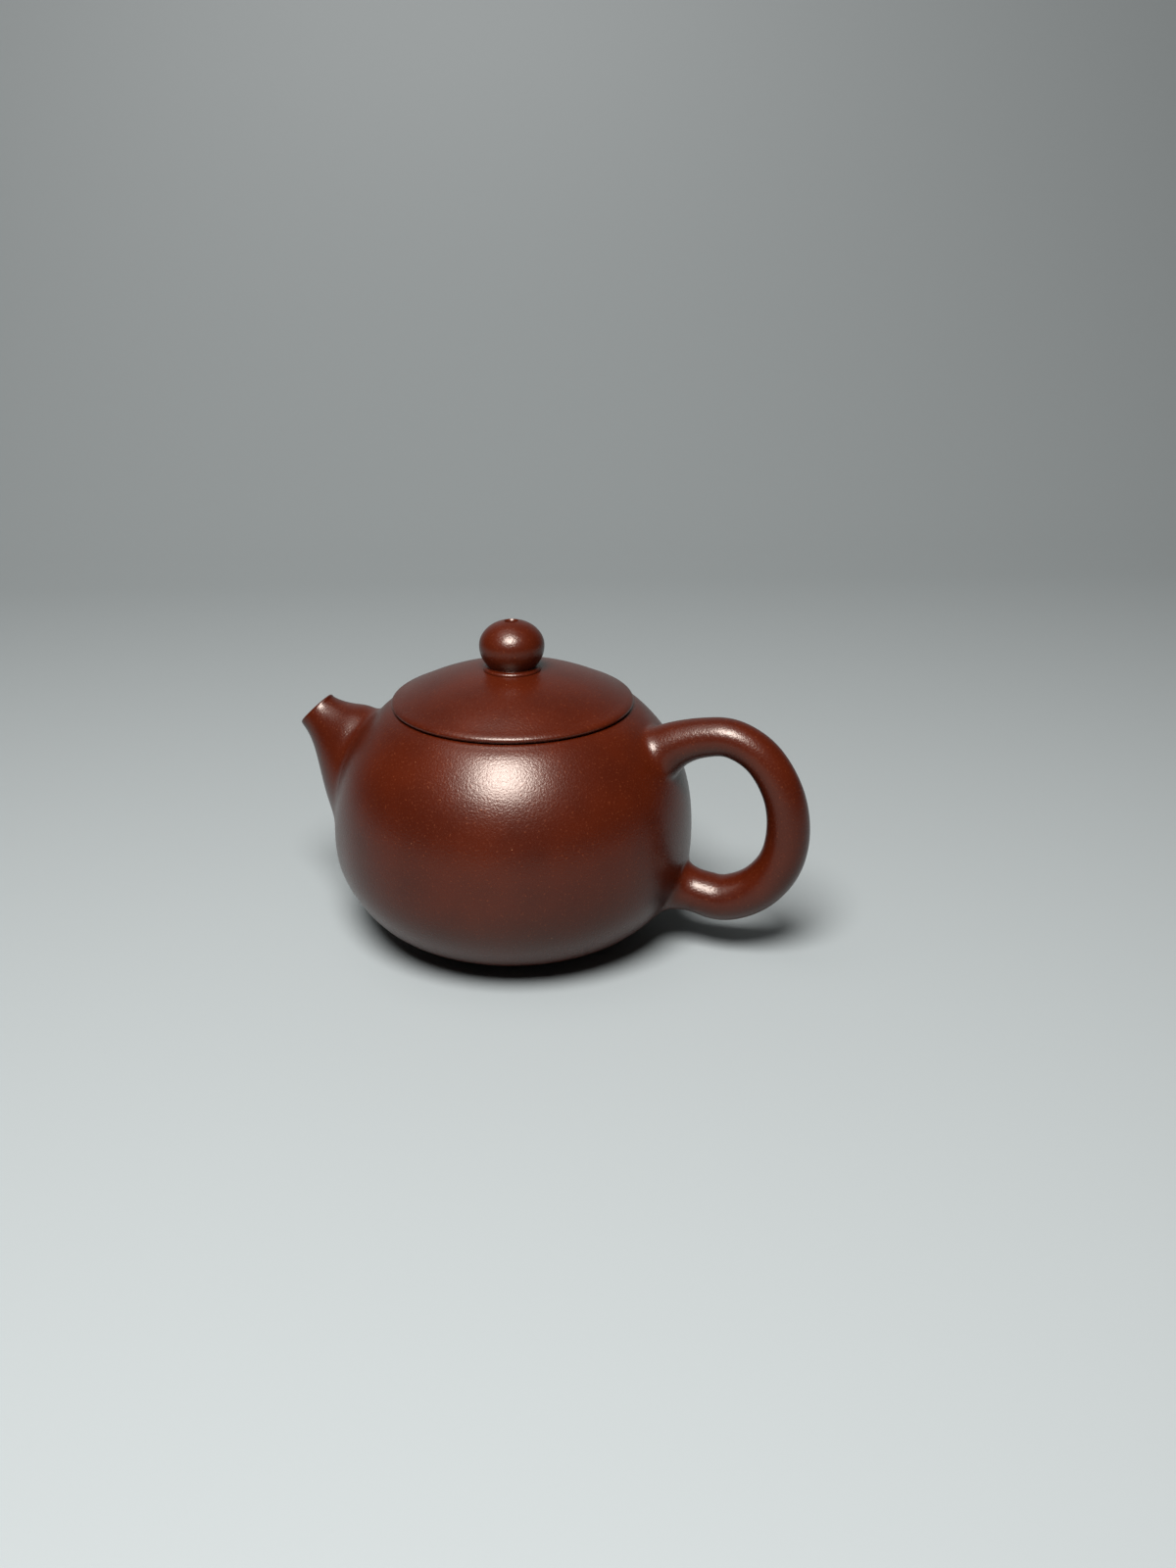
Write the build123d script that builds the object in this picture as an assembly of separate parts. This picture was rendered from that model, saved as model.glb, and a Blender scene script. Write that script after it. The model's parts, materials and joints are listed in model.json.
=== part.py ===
from build123d import *
from math import acos, cos, pi, radians, sin
import os

# A small round teapot of unglazed red-brown stoneware, with a lid cut from the
# same curve as the body, a ball knob, a short duck-bill spout and a loop handle.
# Millimetres. +Z is up. The origin is on the pot's axis, on the surface that it
# stands on. The spout points to -X and the handle to +X.
# Each solid is one piece of clay as the potter makes it, before they are luted together
# with slip.

# ---- Body: a squat ball, one rounded oval below the belly and one above it ----
BODY_R = 45.0  # outside radius at the belly
BELLY_Z = 28.5  # height of the belly
BODY_LOW = 30.3  # belly down to where the lower oval would close
BODY_HIGH = 39.9  # belly up to where the upper oval would close
LOW_FULLNESS = 2.56  # 2 is an ellipse, more is fuller
HIGH_FULLNESS = 2.26
OVAL_POINTS = 9  # points on each quarter of the outline
WALL = 2.8
SHOULDER_DROP = 9.0  # the shoulder is luted to the wall this far below the lid

# ---- Base: a slab pressed in from below, so that the pot stands on a ring ----
FLOOR = 3.2  # thickness of the floor
SLAB_LEDGE = 2.8  # how far the slab reaches past the foot, under the wall
FOOT_RING = 2.6  # width of the ring that the pot stands on
PRESS_DEPTH = 1.5  # how far the middle is pressed in
FOOT_ROUND = 0.5

# ---- Mouth and lid ----
SEAM_R = 29.9  # radius of the cut between body and lid
MOUTH_LEDGE = 4.9  # flat that the lid rests on, from the cut in to the mouth
MOUTH_RING_WALL = 2.6
MOUTH_RING_H = 4.6
LID_CLEARANCE = 0.35  # between the flange and the mouth, all round
LID_RISE = 9.2  # seam up to the top of the dome
LID_POWER = 2.2  # curve of the dome: 2 is a parabola, more is flatter on top
LID_EDGE = 1.2  # upright band round the lid's rim
LID_WALL = 3.0
RIM_ROUND = 0.4  # softened rim of the lid
FLANGE_WALL = 2.4
FLANGE_DEPTH = 6.5  # below the seam
FLANGE_ROUND = 0.6

# ---- Knob ----
KNOB_R = 8.0
KNOB_NECK_R = 6.1
KNOB_NECK_H = 5.9  # neck up to the widest level
KNOB_CROWN_H = 6.3  # widest level up to the crown
KNOB_SINK = 0.6  # the neck is luted this far into the dome
VENT_R = 1.3
VENT_MOUTH = 0.5  # countersink round the top of the vent

# ---- Spout: a flared root, a short throat and a lip cut at a slant ----
# Each station is (distance out past the belly, drop below the lid's seam, pitch in
# degrees, radius across, radius in the pot's own plane).
SPOUT_STATIONS = [
    (-13.0, 22.9, 18.0, 16.0, 21.0),
    (-5.5, 18.9, 27.0, 12.0, 16.5),
    (0.8, 13.5, 37.0, 8.2, 10.3),
    (5.4, 10.3, 41.0, 6.0, 6.5),
    (11.5, 5.8, 43.0, 4.9, 4.8),
]
SPOUT_WALL = 1.5  # at the lip
SPOUT_WALL_GROWTH = 0.7  # added to the wall at each station towards the root
LIP_CUT_OUT = 9.9  # where the slanted cut crosses the throat's centre line
LIP_CUT_DROP = 7.6
LIP_CUT_SLANT = 45.0  # the opening faces this far above level
LIP_ROUND = 0.45

# ---- Strainer: a pierced dome luted over the hole behind the spout ----
STRAINER_R = 9.0
STRAINER_WALL = 1.4
STRAINER_FLANGE = 1.6
STRAINER_DROP = 18.4  # below the lid's seam
STRAINER_PITCH = 18.0
HOLE_R = 0.65
HOLE_ROWS = (0.0, 17.0, 33.0, 49.0, 64.0)  # degrees away from the dome's middle
HOLE_SPACING = 2.75  # between holes in a row

# ---- Handle: a closed ear, thicker towards its lower root ----
# Each station is (distance out past the belly, height above the belly, radius in the
# ear's plane).
HANDLE_STATIONS = [
    (-11.0, 21.0, 9.2),
    (-4.5, 24.7, 6.6),
    (2.5, 27.5, 4.9),
    (10.5, 27.8, 4.6),
    (18.0, 23.5, 4.6),
    (23.6, 15.3, 4.8),
    (25.5, 5.5, 4.9),
    (23.6, -4.3, 5.2),
    (17.6, -11.7, 5.7),
    (8.8, -15.3, 6.1),
    (0.5, -14.1, 6.5),
    (-5.5, -11.5, 7.4),
    (-11.5, -8.5, 8.8),
]
HANDLE_WIDTH = 1.06  # radius across, for each radius in the ear's plane


def oval(inset, sign):
    """The rounded oval's points from the belly to the axis, on the given side of the belly."""
    power = LOW_FULLNESS if sign < 0 else HIGH_FULLNESS
    height = (BODY_LOW if sign < 0 else BODY_HIGH) - inset
    points = []
    for k in range(OVAL_POINTS + 1):
        angle = radians(90.0 * k / OVAL_POINTS)
        out = (BODY_R - inset) * max(cos(angle), 0.0) ** (2 / power)
        points.append((out, BELLY_Z + sign * height * sin(angle) ** (2 / power)))
    points[-1] = (0.0, BELLY_Z + sign * height)
    return points


def body_form(inset):
    """The whole closed ball of the body, that far inside its outer skin."""
    low, high = oval(inset, -1), oval(inset, +1)
    lower = Spline(*low[::-1], tangents=[(1, 0), (0, 1)])
    upper = Spline(*high, tangents=[(0, 1), (-1, 0)])
    axis = Line(high[-1], low[-1])
    return turned([lower, upper, axis])


def turned(edges):
    """A solid of revolution round Z from a closed outline drawn as (radius, height)."""
    return revolve(Plane.XZ * make_face(edges), Axis.Z)


def slab(low, high, radius):
    """A cylinder on the axis between two heights."""
    return Pos(0, 0, low) * Cylinder(
        radius, high - low, align=(Align.CENTER, Align.CENTER, Align.MIN)
    )


def seam_height():
    """The height at which the upper oval has the seam's radius."""
    share = 1 - (SEAM_R / BODY_R) ** HIGH_FULLNESS
    return BELLY_Z + BODY_HIGH * share ** (1 / HIGH_FULLNESS)


def radius_at(inset, height):
    """The body's radius at a height, that far inside its outer skin."""
    above = height > BELLY_Z
    power = HIGH_FULLNESS if above else LOW_FULLNESS
    reach = (BODY_HIGH if above else BODY_LOW) - inset
    share = 1 - (abs(height - BELLY_Z) / reach) ** power
    return (BODY_R - inset) * share ** (1 / power)


OUTER = body_form(0.0)
INNER = body_form(WALL)
FOOT_R = radius_at(0.0, 0.0)
SLAB_R = FOOT_R + SLAB_LEDGE
SEAM_Z = seam_height()
MOUTH_R = SEAM_R - MOUTH_LEDGE
LID_TOP = SEAM_Z + LID_RISE
STRAINER_Z = SEAM_Z - STRAINER_DROP
WALL_HOLE_R = STRAINER_R - STRAINER_WALL  # through the body's wall, behind the strainer
REACH = 3 * BODY_R  # larger than anything on the pot


def body_clay():
    """The wall, shoulder and base before they part: a hollow ball, open at the mouth."""
    clay = OUTER & slab(0, SEAM_Z, REACH)
    cavity = INNER & slab(FLOOR, SEAM_Z, REACH)
    clay = clay - cavity - slab(SEAM_Z / 2, REACH, MOUTH_R)
    hollow_r = FOOT_R - FOOT_RING
    ball_r = (hollow_r**2 + PRESS_DEPTH**2) / (2 * PRESS_DEPTH)
    # The ball lies on its side, so that its pole isn't in the middle of the foot.
    return clay - Pos(0, 0, PRESS_DEPTH - ball_r) * Rot(90, 0, 0) * Sphere(ball_r)


def make_base_slab(clay):
    base = clay & slab(0, FLOOR, SLAB_R)
    ring = base.edges().filter_by(GeomType.CIRCLE).group_by(Axis.Z)[0]
    return fillet(ring, FOOT_ROUND)


def make_mouth_ring():
    bottom = SEAM_Z - MOUTH_RING_H
    ring = slab(bottom, SEAM_Z, MOUTH_R + MOUTH_RING_WALL) - slab(0, REACH, MOUTH_R)
    return ring & INNER


def dome_height(radius):
    return LID_TOP - (LID_RISE - LID_EDGE) * (radius / SEAM_R) ** LID_POWER


def dome_form(drop):
    """The space under the lid's dome, lowered by drop, above the seam."""
    radii = [SEAM_R * k / OVAL_POINTS for k in range(OVAL_POINTS + 1)]
    curve = [(r, dome_height(r) - drop) for r in radii]
    steep = (LID_RISE - LID_EDGE) * LID_POWER / SEAM_R
    top = Spline(*curve, tangents=[(1, 0), (1, -steep)])
    foot = SEAM_Z - REACH / 4
    outline = [top, Line(curve[-1], (SEAM_R, foot)), Line((SEAM_R, foot), (0, foot))]
    return turned([*outline, Line((0, foot), curve[0])]) & slab(SEAM_Z, REACH, REACH)


def vent():
    return slab(0, REACH, VENT_R)


def make_lid_dome():
    lid = dome_form(0.0)
    rims = lid.edges().filter_by(GeomType.CIRCLE).filter_by(lambda e: e.radius > SEAM_R / 2)
    lid = fillet(rims, RIM_ROUND)
    return lid - dome_form(LID_WALL) - knob_form() - vent()


def make_lid_flange():
    outer = MOUTH_R - LID_CLEARANCE
    bottom = SEAM_Z - FLANGE_DEPTH
    ring = slab(bottom, REACH, outer) - slab(0, REACH, outer - FLANGE_WALL)
    ends = ring.edges().filter_by(GeomType.CIRCLE).group_by(Axis.Z)[0]
    ring = fillet(ends, FLANGE_ROUND)
    under = dome_form(LID_WALL) + slab(0, SEAM_Z, REACH)
    return ring & under


def knob_levels():
    """Heights of the knob's neck, widest level and crown."""
    neck_z = dome_height(KNOB_NECK_R) - KNOB_SINK
    wide_z = neck_z + KNOB_SINK + KNOB_NECK_H
    return neck_z, wide_z, wide_z + KNOB_CROWN_H


def knob_form():
    """The ball with a truncated neck, set a little into the dome."""
    neck_z, wide_z, crown_z = knob_levels()
    low_turn = -acos(KNOB_NECK_R / KNOB_R)
    low_reach = (neck_z - wide_z) / sin(low_turn)
    curve = []
    for k in range(2 * OVAL_POINTS):
        angle = low_turn + (pi / 2 - low_turn) * k / (2 * OVAL_POINTS - 1)
        reach = low_reach if angle < 0 else KNOB_CROWN_H
        curve.append((KNOB_R * cos(angle), wide_z + reach * sin(angle)))
    curve[-1] = (0.0, crown_z)
    start = (-KNOB_R * sin(low_turn), low_reach * cos(low_turn))
    ball = Spline(*curve, tangents=[start, (-1, 0)])
    bottom = Line((0, neck_z), curve[0])
    return turned([ball, Line((0, crown_z), (0, neck_z)), bottom])


def make_knob():
    crown_z = knob_levels()[-1]
    sink = Cone(VENT_R, VENT_R + 2 * VENT_MOUTH, 2 * VENT_MOUTH)
    return knob_form() - vent() - Pos(0, 0, crown_z) * sink


def spout_form(shrink):
    """A loft through the stations; shrink(k) is taken off the radius of station k."""
    sections = []
    for k, (out, drop, pitch, across, inplane) in enumerate(SPOUT_STATIONS):
        normal = (-cos(radians(pitch)), 0, sin(radians(pitch)))
        origin = (-BODY_R - out, 0, SEAM_Z - drop)
        plane = Plane(origin=origin, x_dir=(0, 1, 0), z_dir=normal)
        sections.append(plane * Ellipse(across - shrink(k), inplane - shrink(k)))
    return loft(sections)


def spout_wall(k):
    return SPOUT_WALL + SPOUT_WALL_GROWTH * (len(SPOUT_STATIONS) - 1 - k)


def make_spout(bore):
    spout = spout_form(lambda k: 0.0) - bore - OUTER
    face = Plane(
        origin=(-BODY_R - LIP_CUT_OUT, 0, SEAM_Z - LIP_CUT_DROP),
        z_dir=(-cos(radians(LIP_CUT_SLANT)), 0, sin(radians(LIP_CUT_SLANT))),
    )
    spout = split(spout, bisect_by=face, keep=Keep.BOTTOM)
    lip = spout.faces().filter_by(GeomType.PLANE).sort_by(Axis.X)[0]
    return fillet(lip.edges(), LIP_ROUND)


def strainer_seat():
    """The plane on the inside of the wall that the strainer bulges from, into the pot."""
    return Plane(
        origin=(-radius_at(WALL, STRAINER_Z), 0, STRAINER_Z),
        x_dir=(0, 1, 0),
        z_dir=(cos(radians(STRAINER_PITCH)), 0, -sin(radians(STRAINER_PITCH))),
    )


def make_strainer():
    """A flanged, pierced dome on the inside of the wall."""
    drill_low = STRAINER_R - 2 * STRAINER_WALL
    # The spheres lie on their sides, so that no hole meets a pole or the seam.
    dome = Rot(90, 0, 0) * (Sphere(STRAINER_R) - Sphere(STRAINER_R - STRAINER_WALL))
    collar = Cylinder(STRAINER_R + STRAINER_FLANGE, 3 * STRAINER_WALL)
    collar = collar - Cylinder(WALL_HOLE_R, 3 * STRAINER_WALL)
    holes = []
    for row, tilt in enumerate(HOLE_ROWS):
        count = max(1, int(2 * pi * STRAINER_R * sin(radians(tilt)) / HOLE_SPACING))
        for k in range(count):
            turn = 360.0 * (k + 0.5 * (row % 2)) / count
            drill = Pos(0, 0, drill_low + STRAINER_WALL * 1.5) * Cylinder(HOLE_R, 3 * STRAINER_WALL)
            holes.append(Rot(0, 0, turn) * Rot(0, tilt, 0) * drill)
    pierced = dome - holes
    seat = strainer_seat()
    shell = seat * (pierced + collar)
    inside = seat * Pos(0, 0, REACH / 2 - 1.5 * STRAINER_WALL) * Box(REACH, REACH, REACH)
    return shell & INNER & inside


def make_handle():
    points = [(BODY_R + out, BELLY_Z + height) for out, height, _ in HANDLE_STATIONS]
    line = Spline(*points)
    sections = []
    for point, (_, _, radius) in zip(points, HANDLE_STATIONS):
        along = line.tangent_at(line.param_at_point(point))
        origin = (point[0], 0, point[1])
        plane = Plane(origin=origin, x_dir=(0, 1, 0), z_dir=(along.X, 0, along.Y))
        sections.append(plane * Ellipse(radius * HANDLE_WIDTH, radius))
    return loft(sections) - OUTER


os.makedirs("parts", exist_ok=True)
clay = body_clay()
base_slab = make_base_slab(clay)
spout_bore = spout_form(spout_wall)
wall_hole = strainer_seat() * Cylinder(WALL_HOLE_R, 4 * WALL)
joint_z = SEAM_Z - SHOULDER_DROP
body_wall = (clay & slab(0, joint_z, REACH)) - slab(0, FLOOR, SLAB_R) - wall_hole
shoulder = (clay & slab(joint_z, SEAM_Z, REACH)) - wall_hole
parts = {
    "base_slab": base_slab,
    "body_wall": body_wall,
    "shoulder": shoulder,
    "mouth_ring": make_mouth_ring(),
    "lid_dome": make_lid_dome(),
    "lid_flange": make_lid_flange(),
    "knob": make_knob(),
    "spout": make_spout(spout_bore),
    "strainer": make_strainer(),
    "handle": make_handle(),
}
for name, part in parts.items():
    export_step(part, f"parts/{name}.step")
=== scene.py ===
import json
import math

import bmesh
import bpy
from mathutils import Matrix, Vector


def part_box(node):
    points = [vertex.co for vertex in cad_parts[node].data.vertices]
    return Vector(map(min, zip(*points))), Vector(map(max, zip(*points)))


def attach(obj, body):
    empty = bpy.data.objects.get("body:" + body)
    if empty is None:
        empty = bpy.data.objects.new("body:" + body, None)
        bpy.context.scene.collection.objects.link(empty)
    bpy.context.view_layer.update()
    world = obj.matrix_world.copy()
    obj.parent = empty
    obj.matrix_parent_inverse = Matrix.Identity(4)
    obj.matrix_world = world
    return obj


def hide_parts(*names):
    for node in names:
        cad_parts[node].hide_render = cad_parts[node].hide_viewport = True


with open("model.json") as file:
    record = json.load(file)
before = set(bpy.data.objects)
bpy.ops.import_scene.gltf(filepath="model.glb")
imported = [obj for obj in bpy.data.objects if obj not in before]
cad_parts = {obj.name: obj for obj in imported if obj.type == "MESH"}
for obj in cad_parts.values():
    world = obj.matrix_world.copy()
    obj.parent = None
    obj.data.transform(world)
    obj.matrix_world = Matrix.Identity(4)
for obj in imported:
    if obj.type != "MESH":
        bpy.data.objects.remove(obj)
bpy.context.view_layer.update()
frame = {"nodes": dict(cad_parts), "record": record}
mm = 0.001


# ---------- camera ----------
# eye level a little above the lid, from the handle's side of square-on
camera = {
    "lens": 33.75,      # mm, on a 36 mm frame
    "turned": 20.0,     # degrees round the pot from square-on, towards the handle
    "raised": 22.9,     # degrees above level
    "away": 375.0,      # mm from the point looked at
    "pointUp": 35.0,    # mm, that point's height on the pot's axis
    "heading": 16.91,   # degrees, where the lens looks
    "tilt": 22.43,      # degrees below level
}


def placeCamera():
    turned, raised = math.radians(camera["turned"]), math.radians(camera["raised"])
    across = camera["away"] * math.cos(raised) * mm
    up = (camera["pointUp"] + camera["away"] * math.sin(raised)) * mm
    bpy.ops.object.camera_add(
        location=(across * math.sin(turned), -across * math.cos(turned), up),
        rotation=(math.radians(90 - camera["tilt"]), 0, math.radians(camera["heading"])),
    )
    lens = bpy.context.object
    lens.data.lens = camera["lens"]
    lens.data.clip_start = 0.01
    bpy.context.scene.camera = lens


placeCamera()


# ---------- small helpers for modelling ----------
def deselectAll():
    if bpy.context.mode != "OBJECT":
        bpy.ops.object.mode_set(mode="OBJECT")
    bpy.ops.object.select_all(action="DESELECT")


# selects the vertices, edges or faces of the piece being edited that pass the test
def pick(kind, test):
    piece = bpy.context.object
    bpy.ops.mesh.select_mode(type={"verts": "VERT", "edges": "EDGE", "faces": "FACE"}[kind])
    bpy.ops.mesh.select_all(action="DESELECT")
    mesh = bmesh.from_edit_mesh(piece.data)
    for part in getattr(mesh, kind):
        if test(part):
            part.select_set(True)
    mesh.select_flush_mode()
    bmesh.update_edit_mesh(piece.data)


# numbers of the vertices that are selected now
def selectedNumbers():
    mesh = bmesh.from_edit_mesh(bpy.context.object.data)
    mesh.verts.index_update()
    return {v.index for v in mesh.verts if v.select}


# one vertex walks along the outline of (radius, height) in mm, then it is spun round the axis
def turnOnWheel(name, outline, segments):
    deselectAll()
    bpy.ops.mesh.primitive_plane_add(size=mm, location=(0, 0, 0))
    piece = bpy.context.object
    piece.name = piece.data.name = name
    bpy.ops.object.mode_set(mode="EDIT")
    bpy.ops.mesh.select_mode(type="VERT")
    bpy.ops.mesh.select_all(action="SELECT")
    bpy.ops.mesh.merge(type="CENTER")
    bpy.ops.transform.translate(value=(outline[0][0] * mm, 0, outline[0][1] * mm))
    for (r0, z0), (r1, z1) in zip(outline, outline[1:]):
        step = ((r1 - r0) * mm, 0, (z1 - z0) * mm)
        bpy.ops.mesh.extrude_region_move(TRANSFORM_OT_translate={"value": step})
    bpy.ops.mesh.select_all(action="SELECT")
    bpy.ops.mesh.spin(steps=segments, angle=2 * math.pi, center=(0, 0, 0), axis=(0, 0, 1))
    bpy.ops.mesh.select_all(action="SELECT")
    bpy.ops.mesh.remove_doubles(threshold=0.002 * mm)
    bpy.ops.mesh.normals_make_consistent(inside=False)
    return piece


# ends the edit: asks for normals outwards, then lays a smooth skin over the cage;
# the knob's faces still come out pointing inwards, which is a known fault
def smoothOver(piece, levels):
    bpy.ops.mesh.select_all(action="SELECT")
    bpy.ops.mesh.normals_make_consistent(inside=False)
    bpy.ops.object.mode_set(mode="OBJECT")
    deselectAll()
    piece.select_set(True)
    bpy.context.view_layer.objects.active = piece
    bpy.ops.object.modifier_add(type="SUBSURF")
    piece.modifiers[-1].levels = piece.modifiers[-1].render_levels = levels
    bpy.ops.object.modifier_apply(modifier=piece.modifiers[-1].name)
    bpy.ops.object.shade_smooth()
    print("made", piece.name, len(piece.data.polygons), "faces")


# the smooth skin lies inside its cage; this pushes the cage's points out to make up for it
def pushOut(points):
    pushed = list(points)
    for k in range(1, len(points) - 1):
        before, here, after = points[k - 1], points[k], points[k + 1]
        pushed[k] = tuple(h + (2 * h - b - a) / 6 for b, h, a in zip(before, here, after))
    return pushed


# how much larger a ring of n points is drawn, so that its smooth skin has the size meant
def ringSwell(n):
    return 3 / (2 + math.cos(2 * math.pi / n))


# ---------- pot: wall, base and mouth in one turned form ----------
pot = {
    "segments": 48,
    "bellyR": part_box("body_wall")[1].x / mm,
    "bellyZ": 28.5,
    "drop": 30.3,        # belly down to where the lower oval would close
    "rise": 39.9,        # belly up to where the upper oval would close
    "lowFullness": 2.56,
    "highFullness": 2.26,
    "wall": 2.8,
    "seamZ": 60.4,        # height of the cut between body and lid
    "mouthR": 25.0,
    "foot": [(0, 1.5), (7, 1.35), (13, 0.9), (17.2, 0.35), (18.7, 0.03), (20.2, 0.0)],
    "outside": [0.35, 2.2, 4.9, 8.6, 15.6, 23.2, 31.0, 38.6, 45.8, 52.0, 57.2, 59.3],
    "inside": [54.2, 50.4, 46.4, 42.2, 38.0, 33.8, 29.5, 22.5, 15.5, 9.5, 6.0],
    "floor": [(24.2, 3.9), (20.0, 3.25), (13, 3.2), (6, 3.2), (0, 3.2)],
    "spoutHalf": 22.5,   # degrees each side of the spout that are opened for it
    "handleHalf": 15.0,
    "skinDepth": 1.4,    # mm, how near the oval a face lies to count as that skin
}


def potRadius(height, inset=0.0):
    above = height > pot["bellyZ"]
    power = pot["highFullness"] if above else pot["lowFullness"]
    reach = (pot["rise"] if above else pot["drop"]) - inset
    share = 1 - (abs(height - pot["bellyZ"]) / reach) ** power
    return (pot["bellyR"] - inset) * share ** (1 / power)


def potOutline():
    top, bore = pot["seamZ"], pot["mouthR"]
    seam = potRadius(top)
    skin = [(potRadius(z), z) for z in pot["outside"]]
    lining = [(potRadius(z, pot["wall"]), z) for z in pot["inside"]]
    lipOut = [(seam + 0.75, top - 0.72), (seam + 0.1, top - 0.18),
              (seam - 0.7, top), (seam - 1.6, top)]
    lipIn = [(bore + 0.9, top), (bore, top), (bore, top - 0.8), (bore, top - 3.9)]
    collar = [(bore, top - 4.7), (bore + 0.9, top - 4.9), (bore + 3.2, top - 4.9)]
    swell = ringSwell(pot["segments"])
    line = pushOut(pot["foot"] + skin) + lipOut + lipIn + collar + pushOut(lining + pot["floor"])
    return [(r * swell, z) for r, z in line]


# opens the skin where a spout or handle root will be bridged on
def openSkin(side, low, high, half, outer):
    def inPatch(face):
        middle = face.calc_center_median() / mm
        around = math.degrees(math.atan2(middle.y, middle.x * side))
        inset = 0.0 if outer else pot["wall"]
        depth = abs(math.hypot(middle.x, middle.y) - potRadius(middle.z, inset))
        return low < middle.z < high and abs(around) < half and depth < pot["skinDepth"]

    pick("faces", inPatch)
    bpy.ops.mesh.delete(type="FACE")


# the open rim nearest to a place
def rimNear(place):
    mesh = bmesh.from_edit_mesh(bpy.context.object.data)
    mesh.verts.ensure_lookup_table()
    mesh.verts.index_update()
    rims, seen = [], set()
    for start in mesh.verts:
        if start.index in seen or not any(e.is_boundary for e in start.link_edges):
            continue
        loop, todo = set(), [start]
        while todo:
            v = todo.pop()
            if v.index in loop:
                continue
            loop.add(v.index)
            todo += [e.other_vert(v) for e in v.link_edges if e.is_boundary]
        seen |= loop
        middle = sum((mesh.verts[k].co for k in loop), Vector()) / len(loop)
        rims.append(((middle - Vector(place) * mm).length, loop))
    return min(rims, key=lambda rim: rim[0])[1]


# adds a ring of n points; along is its direction of travel in the pot's own plane
def addRing(n, out, height, along, across, inplane):
    centre = (out * mm, 0, height * mm)
    tilt = math.atan2(along[0], along[1])
    swell = ringSwell(n)
    bpy.ops.mesh.primitive_circle_add(
        vertices=n, radius=inplane * swell * mm, location=centre, rotation=(0, tilt, 0)
    )
    bpy.ops.transform.resize(value=(1, across / inplane, 1), center_override=centre)
    return selectedNumbers()


# a ring that hugs the pot's skin; side is -1 at the spout and 1 at the handle
def seatRing(n, side, collar):
    height, halfUp, across, liftLow, liftHigh = collar
    ring = addRing(n, side * pot["bellyR"], height, (side, 0), across, halfUp)
    mesh = bmesh.from_edit_mesh(bpy.context.object.data)
    for v in mesh.verts:
        if v.index in ring:
            up = min(max((v.co.z / mm - height + halfUp) / (2 * halfUp), 0), 1)
            reach = (potRadius(v.co.z / mm) + liftLow + (liftHigh - liftLow) * up) * mm
            v.co.x = side * math.sqrt(reach ** 2 - v.co.y ** 2)
    bmesh.update_edit_mesh(bpy.context.object.data)
    return ring


def bridge(ringA, ringB):
    def onRing(edge):
        ends = {v.index for v in edge.verts}
        return ends <= ringA or ends <= ringB

    pick("edges", onRing)
    bpy.ops.mesh.bridge_edge_loops()


# ---------- spout: a flared root, a short throat and a slanted lip ----------
# each ring is (top out, top height, bottom out, bottom height, radius across) in mm,
# and out is negative towards the spout
spout = {
    "points": 24,
    "collar": (37.2, 16.0, 13.8, 1.9, 0.2),   # middle height, half height, half width, lifts
    "rings": [
        (-40.8, 55.2, -50.2, 28.6, 11.8),
        (-44.8, 55.0, -52.3, 37.2, 9.1),
        (-48.0, 55.7, -54.3, 43.9, 6.6),
        (-50.2, 56.6, -56.5, 47.7, 5.35),
    ],
    "lip": (-50.5, 57.5, -58.45, 49.6, 5.0),
    "wall": [4.2, 2.6, 1.9, 1.5],
    "lipWall": 1.5,
    "lipRound": 0.3,
    "lipBack": 0.7,       # how far behind the lip's plane its edges turn
    "belly": 1.3,         # how far the pot's own wall swells under the spout
    "bellyLow": 15.0,     # heights and half width that swell the most
    "bellyHigh": 24.0,
    "bellyHalf": 17.0,
    "bellyOut": 38.0,     # how far out the part that swells begins
    "bellySkin": 42.0,    # distance from the axis that takes in the outer skin only
    "bellyFade": 15.0,    # how far the swelling takes to die away
    "wallHole": (-39.3, 42.0, 18.0, 8.2),   # out, height, slope, radius
    "wallHoleLedge": (-39.1, 41.9, 18.0, 11.5),
}


def ringFromEnds(ring, shrink=0.0, back=0.0):
    topOut, topUp, lowOut, lowUp, across = ring
    half = math.hypot(topOut - lowOut, topUp - lowUp) / 2
    rise = ((topOut - lowOut) / (2 * half), (topUp - lowUp) / (2 * half))
    along = (-rise[1], rise[0])
    out = (topOut + lowOut) / 2 - along[0] * back
    height = (topUp + lowUp) / 2 - along[1] * back
    return addRing(spout["points"], out, height, along, across - shrink, half - shrink)


def makeSpout():
    outerRim = rimNear((-45, 0, 38))
    innerRim = rimNear((-39, 0, 42))
    chain = [outerRim, seatRing(spout["points"], -1, spout["collar"])]
    for ring in spout["rings"]:
        chain.append(ringFromEnds(ring))
    lip, wall, back = spout["lip"], spout["lipWall"], spout["lipBack"]
    chain.append(ringFromEnds(lip, back=back))
    chain.append(ringFromEnds(lip, shrink=spout["lipRound"]))
    # the inner edge sits a hair further back: rings in one plane would bridge crossed over
    chain.append(ringFromEnds(lip, shrink=wall - spout["lipRound"], back=0.12))
    chain.append(ringFromEnds(lip, shrink=wall, back=back))
    for ring, thick in zip(reversed(spout["rings"]), reversed(spout["wall"])):
        if thick < spout["wall"][0]:
            chain.append(ringFromEnds(ring, shrink=thick))
    for out, height, slope, radius in (spout["wallHole"], spout["wallHoleLedge"]):
        lean = math.radians(slope)
        along = (-math.cos(lean), math.sin(lean))
        chain.append(addRing(spout["points"], out, height, along, radius, radius))
    chain.append(innerRim)
    for one, other in zip(chain, chain[1:]):
        bridge(one, other)


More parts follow.
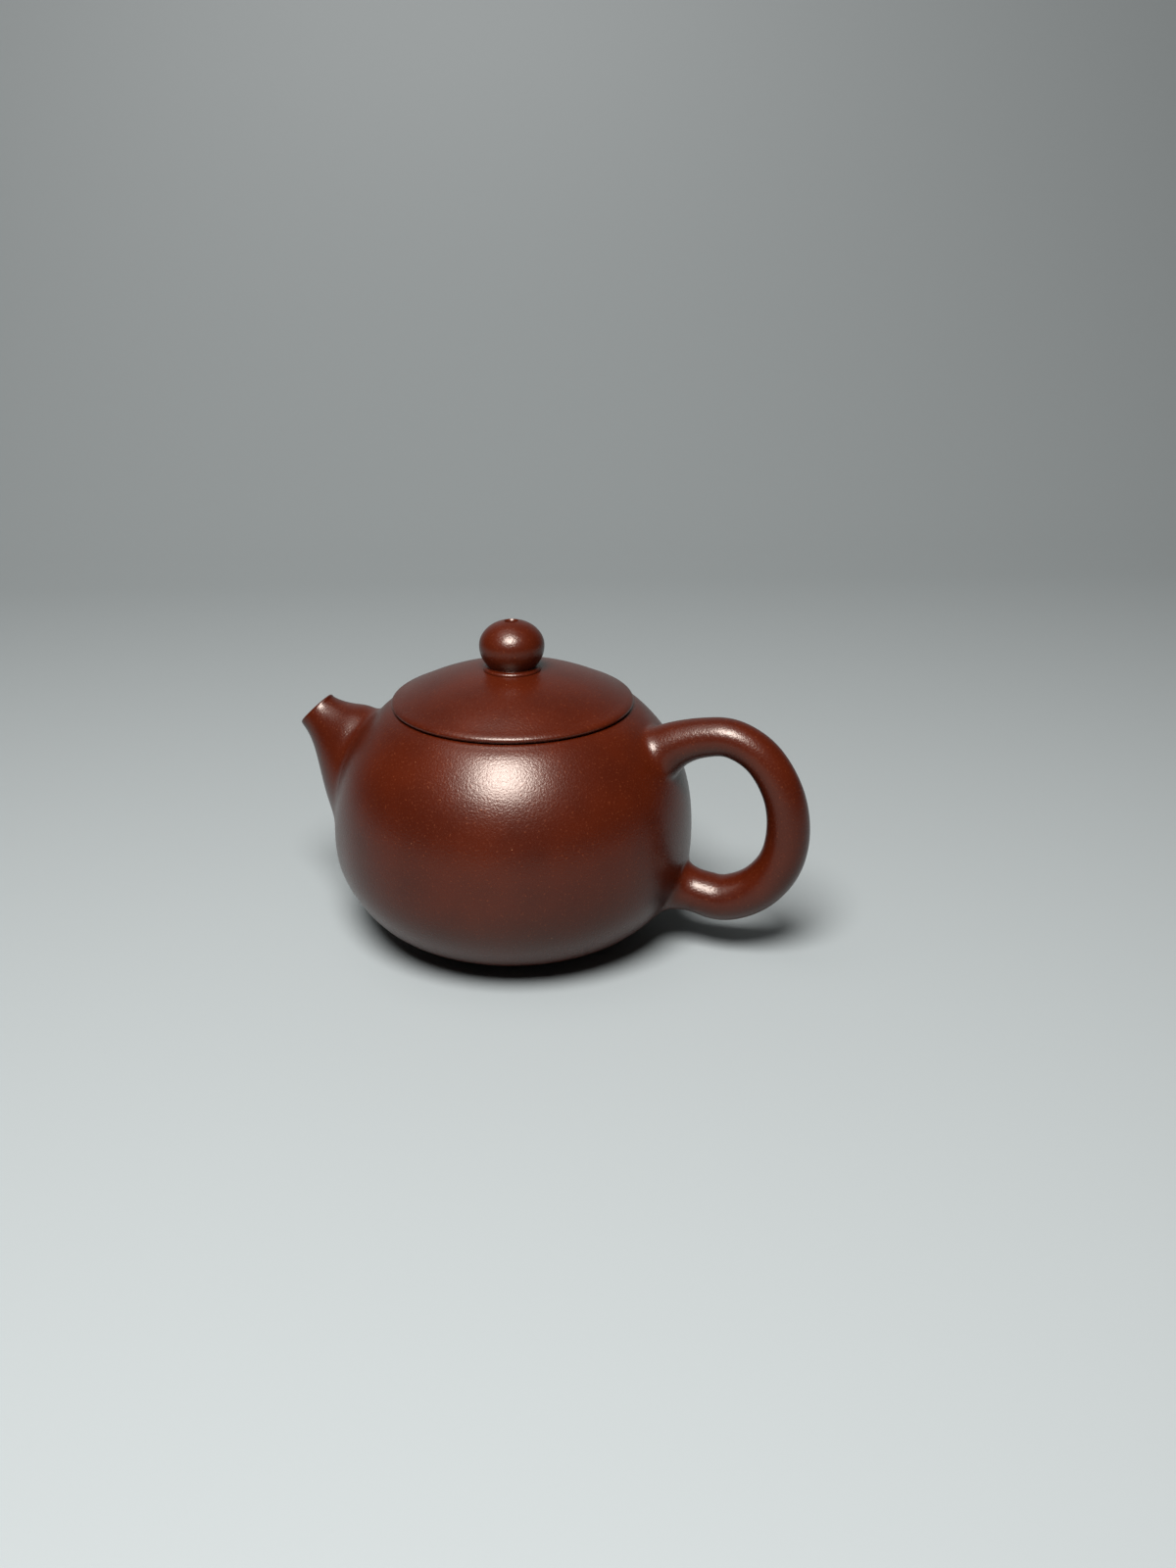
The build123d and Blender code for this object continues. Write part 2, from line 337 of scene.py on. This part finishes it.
# ---------- handle: a closed ear, thicker towards its lower root ----------
# each station is (out, height, radius) in mm; the first and last only aim the ends
handle = {
    "points": 12,
    "stations": [
        (36.2, 50.4, 6.6), (40.8, 53.4, 5.8), (45.0, 55.4, 5.1), (50.0, 56.7, 4.75),
        (55.8, 56.8, 4.7), (63.0, 52.8, 4.75), (68.4, 44.2, 4.95), (70.1, 34.4, 5.3),
        (68.3, 25.2, 5.55), (62.6, 18.0, 5.7), (55.3, 14.6, 5.75), (50.0, 15.0, 5.5),
        (46.2, 15.8, 5.4), (41.5, 16.6, 5.6),
    ],
    "upperCollar": (51.4, 5.6, 6.9, 0.2, 0.2),
    "lowerCollar": (16.3, 6.2, 6.8, 0.2, 0.2),
    "perSpan": 2,
    "width": 1.06,
}


# points between the stations, on a smooth curve through them
def alongStations(stations, perSpan):
    line = []
    for k in range(1, len(stations) - 2):
        a, b, c, d = stations[k - 1:k + 3]
        for step in range(perSpan):
            t = step / perSpan
            line.append(tuple(
                0.5 * (2 * q + (r - p) * t + (2 * p - 5 * q + 4 * r - s) * t * t
                       + (3 * q - p - 3 * r + s) * t ** 3)
                for p, q, r, s in zip(a, b, c, d)
            ))
    return line + [stations[-2]]


def makeHandle():
    upperRim = rimNear((38, 0, 52))
    lowerRim = rimNear((42, 0, 16))
    path = alongStations(handle["stations"], handle["perSpan"])
    path = pushOut([handle["stations"][0]] + path + [handle["stations"][-1]])
    chain = [upperRim, seatRing(handle["points"], 1, handle["upperCollar"])]
    for before, here, after in zip(path, path[1:], path[2:]):
        length = math.hypot(after[0] - before[0], after[1] - before[1])
        along = ((after[0] - before[0]) / length, (after[1] - before[1]) / length)
        radius = here[2]
        chain.append(addRing(handle["points"], here[0], here[1], along,
                             radius * handle["width"], radius))
    chain.append(seatRing(handle["points"], 1, handle["lowerCollar"]))
    chain.append(lowerRim)
    for one, other in zip(chain, chain[1:]):
        bridge(one, other)


# the pot's wall swells a little under the spout
def swellBelly():
    def underSpout(vert):
        outward = vert.co.x < -spout["bellyOut"] * mm and abs(vert.co.y) < spout["bellyHalf"] * mm
        level = spout["bellyLow"] * mm < vert.co.z < spout["bellyHigh"] * mm
        return outward and level and math.hypot(vert.co.x, vert.co.y) > spout["bellySkin"] * mm

    pick("verts", underSpout)
    bpy.ops.transform.translate(
        value=(-spout["belly"] * mm, 0, 0), use_proportional_edit=True,
        proportional_edit_falloff="SMOOTH", proportional_size=spout["bellyFade"] * mm,
    )


def makePot():
    piece = turnOnWheel("pot_body", potOutline(), pot["segments"])
    openSkin(-1, 15.6, 57.2, pot["spoutHalf"], True)
    openSkin(-1, 29.5, 54.2, pot["spoutHalf"], False)
    openSkin(+1, 45.8, 57.2, pot["handleHalf"], True)
    openSkin(+1, 8.6, 23.2, pot["handleHalf"], True)
    swellBelly()
    # out of the edit and back in, so that the vertices are numbered afresh and rings keep theirs
    bpy.ops.object.mode_set(mode="OBJECT")
    bpy.ops.object.mode_set(mode="EDIT")
    makeSpout()
    makeHandle()
    smoothOver(piece, 2)
    return piece


# ---------- lid ----------
lid = {
    "segments": 48,
    "top": 69.6,
    "rimR": 29.9,
    "fall": 8.0,          # dome's top down to its rim
    "power": 2.2,         # 2 is a parabola, more is flatter on top
    "wall": 3.0,
    "ventR": 1.3,
    "flangeR": 24.65,
    "flangeWall": 2.4,
    "flangeFoot": 53.9,
}


def domeHeight(radius):
    return lid["top"] - lid["fall"] * (radius / lid["rimR"]) ** lid["power"]


def makeLidDome():
    rim, vent, seat = lid["rimR"], lid["ventR"], pot["seamZ"]
    top = [(r, domeHeight(r)) for r in (vent, 5, 10, 15, 20, 24.5, 27.6)]
    edge = [(rim - 0.6, seat + 1.85), (rim + 0.1, seat + 1.15), (rim - 0.02, seat + 0.55),
            (rim - 0.5, seat + 0.2), (rim - 1.2, seat + 0.12), (rim - 3.2, seat + 0.12),
            (rim - 4.2, seat + 0.6)]
    under = [(r, domeHeight(r) - lid["wall"]) for r in (22, 17, 12, 7, vent)]
    line = pushOut(top) + edge + pushOut(under) + top[:1]
    swell = ringSwell(lid["segments"])
    piece = turnOnWheel("lid_dome_clay", [(r * swell, z) for r, z in line], lid["segments"])
    smoothOver(piece, 2)
    return piece


def makeLidFlange():
    outer, inner = lid["flangeR"], lid["flangeR"] - lid["flangeWall"]
    foot, root = lid["flangeFoot"], domeHeight(lid["flangeR"]) - lid["wall"]
    line = [(outer, root + 0.6), (outer, root - 1), (outer, foot + 2), (outer, foot + 0.6),
            (outer - 0.5, foot), (inner + 0.5, foot), (inner, foot + 0.6), (inner, foot + 2),
            (inner, root - 0.2), (inner - 0.5, root + 1.0), (inner, root + 1.5),
            (outer, root + 0.6)]
    swell = ringSwell(lid["segments"])
    piece = turnOnWheel("lid_flange_clay", [(r * swell, z) for r, z in line], lid["segments"])
    smoothOver(piece, 2)
    return piece


# ---------- knob ----------
knob = {
    "segments": 32,
    "wideR": 8.0,
    "wideZ": 75.26,
    "neckR": 6.1,
    "crown": 6.3,
    "neckZ": 70.35,
    "footR": 6.95,
    "ventR": 1.3,
    "ventMouth": 0.55,
}


def makeKnob():
    wide, wideZ, vent = knob["wideR"], knob["wideZ"], knob["ventR"]
    lowTurn = -math.acos(knob["neckR"] / wide)
    lowReach = (knob["neckZ"] - wideZ) / math.sin(lowTurn)
    ball = []
    for k in range(9):
        angle = lowTurn + (math.radians(78) - lowTurn) * k / 8
        reach = lowReach if angle < 0 else knob["crown"]
        ball.append((wide * math.cos(angle), wideZ + reach * math.sin(angle)))
    neckZ, footR, floorZ = knob["neckZ"], knob["footR"], domeHeight(knob["footR"])
    foot = [(vent, floorZ - 0.6), (footR - 0.6, floorZ - 0.6), (footR + 0.1, floorZ - 0.3),
            (footR + 0.3, floorZ + 0.2), (footR + 0.05, floorZ + 0.7),
            (knob["neckR"] + 0.35, floorZ + 0.8), (knob["neckR"] - 0.1, floorZ + 0.85)]
    crownZ = wideZ + knob["crown"]
    mouth = [(vent + knob["ventMouth"], crownZ - 0.12), (vent + 0.12, crownZ - 0.55),
             (vent, crownZ - 1.4), (vent, floorZ - 0.6)]
    line = foot + pushOut(ball) + mouth
    swell = ringSwell(knob["segments"])
    piece = turnOnWheel("knob_clay", [(r * swell, z) for r, z in line], knob["segments"])
    smoothOver(piece, 2)
    return piece


potPiece = makePot()
domePiece = makeLidDome()
flangePiece = makeLidFlange()
knobPiece = makeKnob()
deselectAll()


# ---------- materials ----------
def linear(hexColour):
    channels = [int(hexColour[k:k + 2], 16) / 255 for k in (1, 3, 5)]
    return [c / 12.92 if c <= 0.04045 else ((c + 0.055) / 1.055) ** 2.4 for c in channels] + [1]


# adds a node with its settings, its inputs' values, and links into its inputs
def addNode(tree, kind, settings=(), values=(), links=()):
    node = tree.nodes.new(kind)
    for key, value in dict(settings).items():
        setattr(node, key, value)
    for key, value in dict(values).items():
        node.inputs[key].default_value = value
    for key, source in dict(links).items():
        tree.links.new(source, node.inputs[key])
    return node


def newMaterial(name):
    material = bpy.data.materials.new(name)
    material.use_nodes = True
    material.node_tree.nodes.clear()
    return material, material.node_tree


# unglazed red-brown stoneware, rubbed to a soft shine by hands and tea: warm and deep in
# colour, with a fine sandy grain that breaks its highlights into sparks
clay = {
    "deep": "#270702",
    "warm": "#401203",
    "sand": "#743a1e",
    "speckTone": "#a8714f",
    "cloud": 14.0,      # mm across the soft changes of colour
    "grain": 0.5,       # mm, the grit
    "speckSpacing": 5.0,
    "speck": 0.07,
    "roughness": 0.29,
    "grainHeight": 0.06,
    "paddle": 7.0,      # mm, the faint flats left by the paddle
    "paddleHeight": 0.012,
}


def burnishedStoneware(name, roughness, grainHeight):
    material, tree = newMaterial(name)
    place = addNode(tree, "ShaderNodeTexCoord").outputs["Object"]
    cloud = addNode(tree, "ShaderNodeTexNoise", values={"Scale": 1 / (clay["cloud"] * mm), "Detail": 3.0},
                    links={"Vector": place})
    grain = addNode(tree, "ShaderNodeTexNoise", values={"Scale": 1 / (clay["grain"] * mm), "Detail": 2.0},
                    links={"Vector": place})
    paddle = addNode(tree, "ShaderNodeTexNoise", values={"Scale": 1 / (clay["paddle"] * mm), "Detail": 0.0},
                     links={"Vector": place})
    specks = addNode(tree, "ShaderNodeTexVoronoi",
                     values={"Scale": 1 / (clay["speckSpacing"] * mm), "Randomness": 1.0},
                     links={"Vector": place})
    tone = addNode(tree, "ShaderNodeMix", {"data_type": "RGBA"},
                   {6: linear(clay["deep"]), 7: linear(clay["warm"])}, {0: cloud.outputs["Fac"]})
    sandy = addNode(tree, "ShaderNodeMapRange",
                    values={"From Min": 0.62, "From Max": 0.8, "To Min": 0.0, "To Max": 0.35},
                    links={"Value": grain.outputs["Fac"]})
    grained = addNode(tree, "ShaderNodeMix", {"data_type": "RGBA"}, {7: linear(clay["sand"])},
                      {0: sandy.outputs["Result"], 6: tone.outputs[2]})
    speckShare = clay["speck"] / clay["speckSpacing"]
    speckMask = addNode(tree, "ShaderNodeMapRange",
                        values={"From Min": speckShare, "From Max": speckShare * 1.6,
                                "To Min": 0.8, "To Max": 0.0},
                        links={"Value": specks.outputs["Distance"]})
    colour = addNode(tree, "ShaderNodeMix", {"data_type": "RGBA"}, {7: linear(clay["speckTone"])},
                     {0: speckMask.outputs["Result"], 6: grained.outputs[2]})
    rough = addNode(tree, "ShaderNodeMapRange",
                    values={"To Min": roughness - 0.06, "To Max": roughness + 0.08},
                    links={"Value": grain.outputs["Fac"]})
    flats = addNode(tree, "ShaderNodeBump",
                    values={"Strength": 1.0, "Distance": clay["paddleHeight"] * mm},
                    links={"Height": paddle.outputs["Fac"]})
    grit = addNode(tree, "ShaderNodeBump", values={"Strength": 1.0, "Distance": grainHeight * mm},
                   links={"Height": grain.outputs["Fac"], "Normal": flats.outputs["Normal"]})
    shader = addNode(tree, "ShaderNodeBsdfPrincipled",
                     values={"IOR": 1.44, "Specular Tint": linear("#fff0e4")},
                     links={"Base Color": colour.outputs[2], "Roughness": rough.outputs["Result"],
                            "Normal": grit.outputs["Normal"]})
    addNode(tree, "ShaderNodeOutputMaterial", links={"Surface": shader.outputs["BSDF"]})
    return material


clayOutside = burnishedStoneware("burnished_stoneware", clay["roughness"], clay["grainHeight"])
clayInside = burnishedStoneware("bare_stoneware", 0.62, clay["grainHeight"] * 1.5)
for piece in (potPiece, domePiece, flangePiece, knobPiece):
    piece.data.materials.append(clayOutside)
for slot in frame["nodes"]["strainer"].material_slots:
    slot.material = clayInside
print("materials on")

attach(potPiece, "pot")
potNodes = frame["record"]["behaviour"]["bodies"]["pot"]
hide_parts(*[name for name in potNodes if name != "strainer"])
for piece, node in ((domePiece, "lid_dome"), (flangePiece, "lid_flange"), (knobPiece, "knob")):
    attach(piece, "lid")
    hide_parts(node)


# ---------- stage: a pale paper sweep ----------
stage = {"front": -2.5, "turnY": 0.35, "curve": 0.35, "high": 1.3, "half": 2.5}


def makeSweep():
    deselectAll()
    bpy.ops.mesh.primitive_plane_add(size=mm, location=(0, 0, 0))
    sweep = bpy.context.object
    sweep.name = sweep.data.name = "paper_sweep"
    bpy.ops.object.mode_set(mode="EDIT")
    bpy.ops.mesh.select_mode(type="VERT")
    bpy.ops.mesh.select_all(action="SELECT")
    bpy.ops.mesh.merge(type="CENTER")
    bpy.ops.transform.translate(value=(-stage["half"], stage["front"], 0))
    path = [(stage["front"], 0), (stage["turnY"], 0)]
    for k in range(1, 13):
        angle = math.radians(90 * k / 12)
        path.append((stage["turnY"] + stage["curve"] * math.sin(angle),
                     stage["curve"] * (1 - math.cos(angle))))
    path.append((stage["turnY"] + stage["curve"], stage["high"]))
    for (y0, z0), (y1, z1) in zip(path, path[1:]):
        bpy.ops.mesh.extrude_region_move(TRANSFORM_OT_translate={"value": (0, y1 - y0, z1 - z0)})
    bpy.ops.mesh.select_all(action="SELECT")
    bpy.ops.mesh.extrude_region_move(
        TRANSFORM_OT_translate={"value": (2 * stage["half"], 0, 0)})
    bpy.ops.mesh.select_all(action="SELECT")
    bpy.ops.mesh.normals_make_consistent(inside=False)
    bpy.ops.object.mode_set(mode="OBJECT")
    bpy.ops.object.shade_smooth()
    turned = Matrix.Rotation(math.radians(camera["turned"]), 4, "Z")
    sweep.data.transform(turned)
    return sweep


sweep = makeSweep()
paper, paperTree = newMaterial("matt_paper")
paperShader = addNode(paperTree, "ShaderNodeBsdfPrincipled",
                      values={"Base Color": linear("#7d8181"), "Roughness": 0.6})
addNode(paperTree, "ShaderNodeOutputMaterial", links={"Surface": paperShader.outputs["BSDF"]})
sweep.data.materials.append(paper)


# ---------- light ----------
# round is degrees from square-on towards the handle, up is degrees above level
lights = [
    {"name": "key_box", "round": 8, "up": 58, "away": 0.75, "size": 0.38, "power": 17.0},
    {"name": "top_fill", "round": -60, "up": 78, "away": 1.1, "size": 0.8, "power": 2.5},
]
for light in lights:
    around, up = math.radians(light["round"]), math.radians(light["up"])
    away = light["away"]
    place = Vector((away * math.cos(up) * math.sin(around),
                    -away * math.cos(up) * math.cos(around), away * math.sin(up) + 0.04))
    aim = (Vector((0, 0, 0.04)) - place).to_track_quat("-Z", "Y").to_euler()
    bpy.ops.object.light_add(type="AREA", location=place, rotation=aim)
    lamp = bpy.context.object
    lamp.name = lamp.data.name = light["name"]
    lamp.data.shape = "DISK"
    lamp.data.size = light["size"]
    lamp.data.energy = light["power"]

world = bpy.data.worlds.new("studio")
bpy.context.scene.world = world
world.use_nodes = True
world.node_tree.nodes["Background"].inputs["Color"].default_value = linear("#c4c8cc")
world.node_tree.nodes["Background"].inputs["Strength"].default_value = 0.06
bpy.context.scene.view_settings.view_transform = "Standard"
print("stage and lights set")
